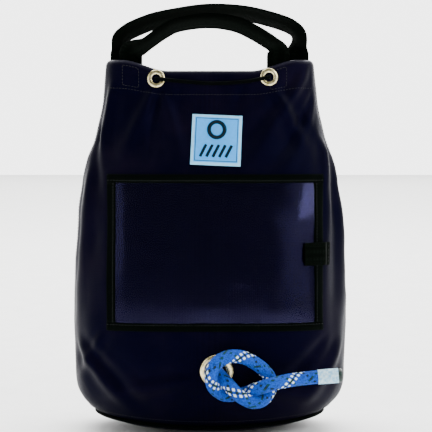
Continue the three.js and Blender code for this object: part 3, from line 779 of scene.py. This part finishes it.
# ---- stage ----
@dataclass
class Studio:
    """Camera, lights and a pale floor."""

    aim: tuple[float, float, float] = (0.0072, 0.0, 0.2355)
    elevation: float = 4.0
    distance: float = 2.02
    lens: float = 150.0
    lights_aim: tuple[float, float, float] = (0, 0, 0.22)
    floor_half: float = 6.0
    # name, place, size in metres and power in watts of each light
    softboxes: tuple[tuple[str, tuple[float, float, float], float, float], ...] = (
        ("key", (1.5, -1.3, 1.3), 1.1, 30), ("fill", (-1.7, -1.5, 0.9), 1.4, 10),
        ("top", (0.1, 1.2, 3.0), 4.0, 290), ("far floor light", (0.1, 5.0, 3.2), 4.5, 330),
        ("reflection card", (1.2, -1.7, 0.6), 0.9, 3),
    )

    @staticmethod
    def put(name: str, data: Any, place: Vector, towards: Vector) -> Any:
        """Links a camera or a light at a place, looking in a direction."""
        item = bpy.data.objects.new(name, data)
        bpy.context.scene.collection.objects.link(item)
        item.location = place
        item.rotation_mode = "QUATERNION"
        item.rotation_quaternion = towards.to_track_quat("-Z", "Y")
        return item

    def camera(self) -> None:
        """A long lens, nearly level with the middle of the bag."""
        data = bpy.data.cameras.new("camera")
        data.lens = self.lens
        tilt = math.radians(self.elevation)
        back = Vector((0, -math.cos(tilt), math.sin(tilt)))
        camera = self.put("camera", data, Vector(self.aim) + back * self.distance, -back)
        bpy.context.scene.camera = camera

    def floor(self) -> None:
        """A matt floor just under the bag."""
        bm = bmesh.new()
        bmesh.ops.create_grid(bm, x_segments=1, y_segments=1, size=self.floor_half)
        floor = finish_mesh(bm, "floor")
        paint = SmoothFinish("studio floor, matt painted", "f4f4f3", "f8f8f7", (0.8, 0.9), 40, 0.0001)
        floor.data.materials.append(paint.build())
        floor.location.z = -0.0005

    def world(self) -> None:
        """White air behind the bag, dimmer in front of it."""
        world = bpy.data.worlds.new("air, white behind the bag and dim in front")
        world.use_nodes = True
        tree = world.node_tree
        axes = add_node(tree, "SeparateXYZ", {0: add_node(tree, "TexCoord").outputs["Generated"]})
        back = add_node(tree, "MapRange", {"From Min": -0.1, "From Max": 0.8, "To Min": 0.28, "To Max": 4.3,
                                           "Value": axes.outputs[1]})
        set_node(tree, tree.nodes["Background"], {0: linear("ffffff"), 1: back})
        bpy.context.scene.world = world

    def build(self) -> None:
        """Makes the floor, the lights, the air and the camera."""
        self.floor()
        for name, place, size, watts in self.softboxes:
            data = bpy.data.lights.new(name, "AREA")
            data.size, data.energy = size, watts
            self.put(name, data, Vector(place), Vector(self.lights_aim) - Vector(place))
        self.world()
        self.camera()


# ---- pieces ----
@dataclass
class Cloths:
    """The finishes shared by several sub-assemblies."""

    cloth: Any = None
    webbing: Any = None
    binding: Any = None
    brass: Any = None
    thread: Any = None

    def build(self) -> "Cloths":
        """Makes the shared materials."""
        self.cloth = PackCloth().build()
        self.webbing = WovenTape("nylon webbing, woven with ribs", "010201", "060a07", 2.0, 1.5).build()
        grosgrain = WovenTape("grosgrain tape, woven with cross ribs", "010202", "050806", 6.0, 1.2)
        self.binding = grosgrain.build()
        self.brass = PlatedBrass().build()
        twisted = SmoothFinish("bonded nylon thread, twisted", "020206", "06060c", (0.6, 0.8), 0.6)
        self.thread = twisted.build()
        return self


@dataclass
class Sack:
    """Wall, rolled hem and base, with their seams."""

    form: BagForm
    stuff: Cloths
    cloth_thickness: float = 1.3
    hem_depth: float = 34
    roll: float = 7  # height of the rolled rim
    tunnel: float = 5.35  # half the depth of the hem from outside to inside
    foot: float = 7.6  # height of the wall's lower edge
    around: int = 240
    rows: int = 130
    rim_rows: int = 34  # rows over the rim and down inside, of which the first ones go over it
    roll_rows: int = 14
    base_overlap: float = 9.5

    def wall_point(self, u: float, v: float) -> Vector:
        """Outer wall, over the rim and down the inside of the hem."""
        angle = 2 * math.pi * u
        high = self.form.height - self.roll
        split = self.rows / (self.rows + self.rim_rows)
        if v <= split:
            return self.form.at(angle, self.foot + (high - self.foot) * v / split)
        step = (v - split) / (1 - split) * self.rim_rows
        if step <= self.roll_rows:
            turn = math.pi * step / self.roll_rows
            return self.form.at(angle, high + self.roll * math.sin(turn), self.tunnel * (math.cos(turn) - 1))
        drop = (step - self.roll_rows) / (self.rim_rows - self.roll_rows)
        pinch = smooth((drop - 0.45) / 0.4) * (2 * self.tunnel - 3.4)
        height = high - (self.hem_depth - self.roll) * drop
        return self.form.at(angle, height, -2 * self.tunnel + pinch)

    def base_point(self, u: float, v: float) -> Vector:
        """From the seam down round the bottom edge and in to the middle of the base."""
        angle = 2 * math.pi * u
        if v < 0.4:
            height = self.base_overlap * (1 - smooth(v / 0.4))
            inside = -1.7 * smooth((height - 7) / 1.2)
            return self.form.at(angle, height, inside)
        edge = self.form.bare(angle, 0.0)
        share = 1 - smooth((v - 0.4) / 0.6) * 0.97
        ripple = 0.5 * (1 + noise.noise(Vector((edge.x * share / 30, edge.y * share / 30, 2.0))))
        return Vector((edge.x * share, edge.y * share, 0.4 + 1.2 * ripple * (1 - share))) * MM

    def ring(self, height: float, offset: float, count: int = 240) -> tuple[list[Vector], list[Vector]]:
        """Points round the wall at a height, and the outward directions there."""
        return self.form.row([(2 * math.pi * (i % count) / count, height) for i in range(count + 1)], offset)

    def build(self) -> None:
        """Makes the sack."""
        size = (self.form.girth * MM, (self.form.height + self.hem_depth) * MM)
        rows = self.rows + self.rim_rows
        wall = mapped_grid("wall cloth", self.around, rows, self.wall_point, size, wrap=True)
        dress(wall, self.stuff.cloth, Slot.CLOTH, "root",
              ("front_panel", "back_panel", "front_hem", "back_hem"))
        base = mapped_grid("base cloth", 120, 40, self.base_point, (self.form.girth * MM, 0.11),
                           wrap=True, caps=True)
        dress(base, self.stuff.cloth, Slot.CLOTH, "root", ("base_panel",))
        for piece in (wall, base):
            facing_out(piece, Vector((0, 0, 0.2)))
            thicken(piece, self.cloth_thickness * MM)
        line, _ = self.ring(self.form.seam_height, 1.5, 360)
        bead = tube("base piping", line, lambda turn, run: 2.2 * MM, 12)
        dress(bead, self.stuff.binding, Slot.BINDING, "root", ("base_piping",))
        for name, height in (("stitching above the base seam", 15.0), ("stitching under the hem", 378.5)):
            row = stitches(name, *self.ring(height, 0.1))
            dress(row, self.stuff.thread, Slot.CLOTH)
        for name, away in (("left", -5.0), ("right", 5.0)):
            seam = math.copysign(self.form.girth / 4, away) - away
            spots = [(self.form.angle_of(seam), 18 + 356 * i / 60) for i in range(61)]
            row = stitches(f"{name} side seam stitching", *self.form.row(spots))
            dress(row, self.stuff.thread, Slot.CLOTH)


@dataclass
class Grommet:
    """A brass ring set into the front wall, with its rolled flange outside."""

    form: BagForm
    stuff: Cloths
    node: str
    x: float
    height: float
    hole: float
    outer: float
    dome: float
    barrel_wall: float = 0.8

    def seat(self) -> Matrix:
        """Where the ring sits, with its axis along the wall's outward direction."""
        angle = self.form.angle_at(self.x, self.height)
        out = self.form.normal(angle, self.height)
        turn = out.to_track_quat("Z", "Y").to_matrix().to_4x4()
        return Matrix.Translation(self.form.bare(angle, self.height) * MM) @ turn

    def profile(self) -> list[tuple[float, float]]:
        """Closed half section: barrel inside the hole, flange curled back onto the cloth."""
        barrel, ring = self.hole + self.barrel_wall, []
        for i in range(19):
            t = i / 18
            radius = self.hole + (self.outer - self.hole) * (0.5 - 0.5 * math.cos(math.pi * t))
            rise = 0.3 + self.dome * max(math.sin(math.pi * min(t * 0.88 + 0.08, 1)), 0) ** 0.75
            ring.append((radius, rise))
        under = [(self.outer - 0.1, 0.15), (self.outer - 0.7, 0.1), (barrel, 0.1), (barrel, -3.4)]
        return ring + under + [(self.hole, z) for z in (-3.4, -2.0, -0.6)]

    def build(self) -> None:
        """Makes the ring."""
        ring = spun(f"{self.node} flange", self.profile(), 72, self.seat())
        dress(ring, self.stuff.brass, Slot.BRASS, "root", (self.node,))


@dataclass
class Drawcord:
    """The stretch of drawcord between the two eyelets, a dark cord that also stands in for the shadow along
    the top of the hem.
    """

    form: BagForm
    left: float
    right: float
    height: float
    radius: float = 2.2

    def build(self) -> None:
        h, left, right = self.height, self.left, self.right
        # the cord droops below the eyelets, where it also serves as painted shadow along the hem's top edge
        spots = ((left, h, -3.8), (left, h, 1.5), (left + 4, h, 4.8), (left + 12, h, 3.8),
                 (left + 30, h - 2, 2.7), ((left + right) / 2, h - 4.5, 2.5), (right - 30, h - 2.5, 2.8),
                 (right - 12, h, 3.8), (right - 4, h, 4.8), (right, h, 1.5), (right, h, -3.8))
        line = evenly(catmull([self.form.front(*spot) for spot in spots], 16), 260)
        braid = Braid(8, 26)
        cord = tube("drawcord between the eyelets", line,
                    lambda turn, run: (self.radius - 0.2 + 0.2 * braid.cell(turn, run)) * MM, 40)
        finish = WovenTape("polyester cord, plaited", "020203", "0a0b0e", 6.0, 1.1)
        dress(cord, finish.build(), Slot.DRAWCORD, "root", ("drawcord_front_run",))


@dataclass
class Strap:
    """One webbing handle: an arch turned about its own length, with its two legs sewn inside the hem."""

    form: BagForm
    stuff: Cloths
    body: str
    side: Side
    legs: tuple[float, float]
    rise: tuple[float, ...]
    along: tuple[float, ...]
    top_y: float
    turn: float  # degrees that the arch is turned about its own length
    width: float = 25
    thickness: float = 2.2
    fold: float = 412.5
    top: float = 459.5
    leg: float = 62

    def leg_point(self, x: float, height: float) -> Vector:
        """Middle of the leg inside the hem."""
        capped = min(height, self.form.height)
        angle = self.form.angle_at(x, capped, self.side)
        out = self.form.normal(angle, capped)
        point = self.form.bare(angle, capped) - out * 12.1
        return Vector((x, point.y, point.z + height - capped))

    def middle_line(self) -> list[Vector]:
        """The strap's middle from one sewn end over the arch to the other."""
        left, right = self.legs
        root = self.leg_point(left, self.form.height).y
        points = [self.leg_point(left, self.fold - self.leg + self.leg * i / 6) for i in range(6)]
        points += [Vector((left, root, self.fold)), Vector((left, root, self.fold + 7))]
        for up, share in zip(self.rise, self.along):
            z = self.fold + (self.top - self.fold) * up
            lean = smooth((z - self.fold) / (self.top - self.fold))
            points.append(Vector((left + (right - left) * share, root + (self.top_y - root) * lean, z)))
        points += [Vector((right, root, self.fold + 7)), Vector((right, root, self.fold))]
        points += [self.leg_point(right, self.fold - self.leg * i / 6) for i in range(1, 7)]
        return evenly(catmull(points, 12), 260)

    def build(self) -> None:
        """Makes the strap, bent from its legs into the arch, and the stitching at its legs."""
        line = self.middle_line()
        last, length = len(line) - 1, line_length(line)
        tangents = [(line[min(i + 3, last)] - line[max(i - 3, 0)]).normalized() for i in range(last + 1)]
        rings = []
        for i, point in enumerate(line):
            tangent = tangents[i]
            if point.z < self.fold + 6:
                tangent = Vector((0, 0, 1 if i * 2 < last else -1))
            flat = Vector((tangent.z, 0, -tangent.x)).normalized()
            bend = tangents[min(i + 8, last)].dot(tangents[max(i - 8, 0)])
            free = smooth((point.z - self.fold - 2) / 14)
            swing = Matrix.Rotation(math.radians(self.turn) * free, 3, tangent)
            out = swing @ Vector((0, -1, 0))
            wave = 0.7 * free * math.sin(math.pi * 2.3 * i / last)
            rings.append((point, swing @ flat, out, free * (1.1 - bend) * 3.2, wave))

        def place(u: float, v: float) -> Vector:
            """A point of the strap's rounded-rectangle skin."""
            point, flat, out, curl, wave = rings[round(v * last)]
            c, s = rounded(u, 0.22, 0.5)
            across = c * self.width / 2 * (1 - 0.035 * min(curl, 2))
            depth = s * self.thickness / 2
            share = across / (self.width / 2)
            depth += curl * (1 - share * share) + wave * share
            return (point + flat * across + out * depth) * MM

        strap = mapped_grid(f"{self.body} webbing", 48, last, place, (0.054, length * MM),
                            wrap=True, caps=True)
        dress(strap, self.stuff.webbing, Slot.WEBBING, "",
              (self.body, f"{self.body}_anchor_left", f"{self.body}_anchor_right"))
        y = self.leg_point(self.legs[0], self.form.height).y * MM
        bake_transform(strap)
        for name, x in zip(("left", "right"), self.legs):
            self.bar_tack(name, x)

    def bar_tack(self, name: str, x: float) -> None:
        """The box of stitches that holds a leg, seen on the outside of the hem."""
        spots = outline(x - 9, 404, x + 9, 382, 8)
        row = stitches(f"{self.body} {name} box stitching", *self.form.panel_row(spots, side=self.side))
        dress(row, self.stuff.thread, Slot.CLOTH)


def strip(form: BagForm, name: str, start: tuple[float, float], end: tuple[float, float], half: float,
          low: float, high: float, steps: int, drop: Callable[[float], float] = lambda x: 0.0) -> Any:
    """A flat tape with rounded edges laid on the front wall.

    Args:
        form: the bag.
        name: the piece's name.
        start: x and height of one end of its middle line.
        end: x and height of the other end.
        half: half of its width.
        low: offset of its underside from the wall.
        high: offset of its top.
        steps: cells along it.
        drop: how much closer to the wall it comes at an X.

    Returns:
        The object.
    """
    (x0, z0), (x1, z1) = start, end
    length = math.dist(start, end)
    side = ((z1 - z0) / length, -(x1 - x0) / length)

    def place(u: float, v: float) -> Vector:
        """A point of the tape's skin."""
        c, s = rounded(u, 0.35, 0.55)
        across, out = c * half, (low + high) / 2 + s * (high - low) / 2
        x, z = x0 + (x1 - x0) * v + side[0] * across, z0 + (z1 - z0) * v + side[1] * across
        return form.front(x, z, out - drop(x))

    return mapped_grid(name, 28, steps, place, (4 * half * MM, length * MM), wrap=True, caps=True)


@dataclass
class WindowPocket:
    """The clear pocket on the front: vinyl, four bindings, their stitching and the closing tab."""

    form: BagForm
    stuff: Cloths
    left: float = -111
    right: float = 123
    low: float = 115.5
    top: float = 284
    binding: float = 9
    stitch_shift: float = 2.3  # from a binding's middle in towards the window

    def sheet(self) -> None:
        """The clear vinyl sheet, tucked under the bindings."""
        edge = self.binding - 2
        x0, x1, z0, z1 = self.left + edge, self.right - edge, self.low + edge, self.top - edge

        def place(u: float, v: float) -> Vector:
            """A point of the sheet, with a slight belly and ripples."""
            puff = math.sin(math.pi * u) * math.sin(math.pi * v)
            wave = noise.noise(Vector((u * 3.1, v * 2.2, 4.0)))
            wave += 0.4 * noise.noise(Vector((u * 7, v * 5, 9.0)))
            return self.form.front(x0 + (x1 - x0) * u, z0 + (z1 - z0) * v, 1.7 + puff * (1.0 + 1.1 * wave))

        piece = mapped_grid("clear vinyl window", 90, 60, place, ((x1 - x0) * MM, (z1 - z0) * MM))
        facing_out(piece, Vector((0, 0, 0.2)))
        thicken(piece, 0.0006)
        dress(piece, ClearVinyl().build(), Slot.VINYL, "root", ("window_sheet",))

    def bindings(self) -> None:
        """Four folded tapes round the window, each held by one row of stitches."""
        half = self.binding / 2
        x0, x1, z0, z1 = self.left + half, self.right - half, self.low + half, self.top - half
        runs = (("top", (self.left, z1), (self.right, z1), 90, (0, -1)),
                ("bottom", (self.left, z0), (self.right, z0), 90, (0, 1)),
                ("left", (x0, z0 + half), (x0, z1 - half), 60, (1, 0)),
                ("right", (x1, z0 + half), (x1, z1 - half), 60, (-1, 0)))
        for name, start, end, steps, (dx, dz) in runs:
            piece = strip(self.form, f"{name} window binding", start, end, half, 0.3, 3.1, steps)
            dress(piece, self.stuff.binding, Slot.BINDING, "root", (f"window_binding_{name}",))
            a, b = ((x + dx * self.stitch_shift, z + dz * self.stitch_shift) for x, z in (start, end))
            row = stitches(f"{name} binding stitching", *self.form.panel_row(between(a, b, 60), 2.95))
            dress(row, self.stuff.thread, Slot.BINDING)

    def tab(self) -> None:
        """The webbing tab that closes the pocket, with its hook and loop pads."""
        tab = strip(self.form, "pocket closing tab", (102, 198), (131, 198), 12.4, 4.75, 6.3, 40,
                    lambda x: 4.4 * smooth((x - 123) / 4.5))
        dress(tab, self.stuff.webbing, Slot.WEBBING, "", ("closure_tab",))
        tuple(self.form.front(127.5, 198, 2.5))
        tuple(self.form.front(122.5, 198, 5.5))
        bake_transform(tab)
        hooks = SmoothFinish("nylon hook and loop tape, napped", "030304", "0a0a0d", (0.8, 0.95), 0.9,
                             0.0006, (("Specular IOR Level", 0.06),))
        refinish(("tab_hook_patch", "tab_loop_patch"), hooks.build())
        row = self.form.panel_row(between((129, 188), (129, 208), 10), 1.75)
        dress(stitches("closing tab stitching", *row), self.stuff.thread, Slot.WEBBING)

    def build(self) -> None:
        """Makes the pocket."""
        self.sheet()
        self.bindings()
        self.tab()


@dataclass
class Label:
    """The woven label above the window: padded cloth with a plain ring and bar motif."""

    form: BagForm
    stuff: Cloths
    x: float = 7.6
    height: float = 322
    width: float = 55
    tall: float = 56
    turn: float = -0.045

    def spot(self, across: float, up: float) -> tuple[float, float]:
        """X and height on the wall of a place on the label."""
        c, s = math.cos(self.turn), math.sin(self.turn)
        return self.x + across * c - up * s, self.height + across * s + up * c

    def lift(self, across: float, up: float) -> float:
        """How far the label's face stands off the wall."""
        share = max(abs(across) / (self.width / 2), abs(up) / (self.tall / 2))
        return 1.0 + 0.9 * smooth((1 - share) / 0.22) + 0.25 * noise.noise(Vector((across / 14, up / 14, 1)))

    def on_label(self, across: float, up: float, extra: float = 0.0) -> Vector:
        """A point on the label's face."""
        x, z = self.spot(across, up)
        return self.form.front(x, z, self.lift(across, up) + extra)

    def motif(self) -> None:
        """A plain ring over five slanted bars, in dark embroidery."""
        thread = SmoothFinish("rayon thread, satin embroidery", "02090e", "06202c", (0.5, 0.65), 0.5, 0.0004,
                              (("Specular IOR Level", 0.08),)).build()
        ring = [self.on_label(8.6 * math.cos(t), 11 + 8.6 * math.sin(t), 0.1)
                for t in (2 * math.pi * i / 60 for i in range(61))]
        parts = [tube("label ring", ring, lambda turn, run: 2.1 * MM, 8)]
        for k in range(5):
            line = [self.on_label(*spot, -0.4) for spot in between((7 * k - 17, -19), (7 * k - 11, -6), 12)]
            parts.append(tube(f"label bar {k + 1}", line, lambda turn, run: 1.7 * MM, 8))
        for part in parts:
            dress(part, thread, Slot.LABEL)

    def build(self) -> None:
        """Makes the label, its motif and its stitching."""
        w, h = self.width, self.tall
        patch = mapped_grid("woven label", 44, 44, lambda u, v: self.on_label((u - 0.5) * w, (v - 0.5) * h),
                            (w * MM, h * MM))
        facing_out(patch, Vector((0, 0, 0.3)))
        thicken(patch, 0.0009)
        dress(patch, WovenLabel(w, h).build(), Slot.LABEL, "root", ("label_patch",))
        self.motif()
        spots = outline(-1, -1, 1, 1, 20)
        line = [self.on_label(a * (w / 2 - 1.7), b * (h / 2 - 1.7), 0.05) for a, b in spots]
        out = [self.form.normal(self.form.angle_at(*self.spot(a * w / 2, b * h / 2)), self.height)
               for a, b in spots]
        pale = SmoothFinish("polyester thread, pale blue", "8cc8ee", "b5e0fb", (0.5, 0.6), 0.5).build()
        dress(stitches("label stitching", line, out, 2.6, 0.5), pale, Slot.LABEL)


@dataclass
class Rope:
    """The rope: knotted outside the grommet, and hanked on the base inside."""

    form: BagForm
    x: float = 7.8
    height: float = 72.5
    radius: float = 7.4
    twine_pitch: float = 1.6
    braid: Braid = Braid()
    # from the cut end to inside the grommet: x, height and how far out from the wall
    route: tuple[tuple[float, float, float], ...] = (
        (142, 70.3, 15), (131.5, 69.5, 15), (117, 68.4, 15), (105, 67.3, 15.5), (91, 66.2, 19),
        (78, 64.8, 25), (65.6, 62.5, 29.5), (50, 56.4, 23), (39, 50.8, 15), (28, 48.6, 12),
        (15.5, 49.4, 15), (5.6, 57.4, 21), (2.1, 69.6, 27), (4.2, 80.5, 30), (11.4, 88.3, 28),
        (23.5, 92, 23), (38, 89.5, 17.5), (52.4, 81, 13.5), (62.2, 71.5, 12), (66, 62.5, 12),
        (64.5, 52.5, 14.5), (57.3, 44.6, 20.5), (47.6, 42.8, 25.5), (38, 46.7, 29), (28.3, 53.8, 29.5),
        (20, 62.2, 24.5), (13, 68.6, 16.5), (8.4, 72, 8), (7.8, 72.5, 0), (7.8, 72.5, -9),
    )

    def sheath(self, relief: float) -> Callable[[float, float], float]:
        """Radius of the rope's skin, with its strands standing proud by the relief in millimetres."""
        return lambda turn, run: (self.radius - relief * (1 - self.braid.cell(turn, run))) * MM

    def wall_y(self) -> float:
        """Y of the wall where the grommet sits."""
        return self.form.bare(self.form.angle_at(self.x, self.height), self.height).y

    def outside(self, material: Any) -> None:
        """The knot and the tail outside, with whipping near the cut end."""
        points = [Vector((x, self.wall_y() - out, z)) * MM for x, z, out in self.route]
        line = evenly(catmull(points, 14), 560)
        rope = tube("rope tail and knot", line, self.sheath(0.55), 84)
        dress(rope, material, Slot.ROPE, "rope_end", ("rope_knot",))
        start, along = points[2], (points[1] - points[2])

        def winding(turn: float, run: float) -> float:
            """Radius of the whipping, with a ridge for each of its turns of twine."""
            ridge = math.sin(run / MM * 2 * math.pi / self.twine_pitch)
            return (self.radius + 0.55 + 0.18 * ridge) * MM

        def sealed(turn: float, run: float) -> float:
            """Radius of the melted end, rounded at its rim."""
            return (self.radius + 0.25 - 1.3 * smooth((run / MM - 3.2) / 1.6)) * MM

        wound = tube("rope whipping twine", evenly([start, start + along * 1.5], 84), winding, 48)
        tape = SmoothFinish("cotton whipping twine, waxed", "7cc0e4", "d2edf8", (0.4, 0.55), 3.0, 0.0002)
        dress(wound, tape.build(), Slot.TAPE, "rope_end", ("rope_whipping",))
        tip = (line[0] - line[2]).normalized()
        caps = evenly([line[0] - tip * 0.0035, line[0] + tip * 0.0012], 12)
        end = tube("rope cut end", caps, sealed, 48)
        melted = SmoothFinish("polyester, cut and heat sealed", "04120f", "0d2b26", (0.3, 0.5), 2.0, 0.0006)
        dress(end, melted.build(), Slot.ROPE, "rope_end")

    def inside(self, material: Any) -> None:
        """From the grommet over the hank's top, then round in three layers on the base."""
        y, rest = self.wall_y() + 9, self.height - 3.2
        half = self.form.half_width(self.form.seam_height) - 23.7 - 52
        points = [(self.x, y + 0.5, self.height), (self.x, y + 6, self.height), (self.x - 2, y + 14, rest),
                  (self.x - 10, y + 24, rest), (self.x - 26, y + 28, rest), (self.x - 42, y + 30, rest),
                  (-30 - half, -30, 65), (-44 - half, 0, 59), (-30 - half, 31, 54)]
        loops = ((44, 51.5), (28, 51.5), (28, 35.5), (44, 35.5), (44, 19.5), (28, 19.5))
        arc = [(math.cos(math.radians(t)), math.sin(math.radians(t))) for t in range(-90, 91, 30)]
        for k, (r, z) in enumerate(loops):
            if k:
                points += [(-half - r * c, r * s, z) for c, s in arc]
            points += [(x * half, r, z) for x in (-0.5, 0, 0.5)]
            points += [(half + r * c, -r * s, z) for c, s in arc]
        line = evenly(catmull([Vector(p) * MM for p in points], 6), 1500)
        rope = tube("rope inside the bag", line, self.sheath(0.0), 36)
        dress(rope, material, Slot.ROPE, "root", ("rope_lead_in", "rope_hank"))
        round(line_length(line), 2)

    def build(self) -> None:
        """Makes both stretches of the rope."""
        material = RopeSheath(self.braid).build()
        self.outside(material)
        self.inside(material)


def refinish(nodes: Sequence[str], material: Any) -> None:
    """Gives inner pieces that keep their plain solids a better finish."""
    for node in nodes:
        bpy.data.objects[node].data.materials.clear()
        bpy.data.objects[node].data.materials.append(material)


def main() -> None:
    """Builds the bag, piece by piece."""
    logging.basicConfig(level=logging.INFO, format="%(message)s")
    Studio().build()
    form = BagForm(folds=FOLDS)
    eyelet_height, left, right = 398.5, -58.6, 65.6
    Rope(form).build()
    Drawcord(form, left, right, eyelet_height).build()
    stuff = Cloths().build()
    Sack(form, stuff).build()
    for name, x in (("eyelet_left", left), ("eyelet_right", right)):
        Grommet(form, stuff, name, x, eyelet_height, 4.75, 9.9, 1.8).build()
    Grommet(form, stuff, "rope_grommet", 7.8, 72.5, 10.3, 18.25, 3.0).build()
    Strap(form, stuff, "front_handle", Side.FRONT, (-87.06, 76.06),
          (0.3, 0.577, 0.772, 0.868, 0.787, 0.577, 0.3),
          (0.095, 0.209, 0.322, 0.526, 0.707, 0.843, 0.968), -6.5, -48).build()
    Strap(form, stuff, "rear_handle", Side.BACK, (-98.56, 98.56),
          (0.5, 0.82, 0.98, 1.09, 1.06, 0.93, 0.74, 0.52),
          (0.0, 0.15, 0.307, 0.493, 0.681, 0.83, 0.96, 1.01), 6.5, 46).build()
    WindowPocket(form, stuff).build()
    Label(form, stuff).build()
    refinish(("side_seam_tape_left", "side_seam_tape_right"), stuff.binding)
    refinish(("eyelet_washer_left", "eyelet_washer_right", "rope_grommet_washer"), stuff.brass)
    refinish(("hank_tie",), stuff.webbing)


if __name__ == "__main__":
    main()
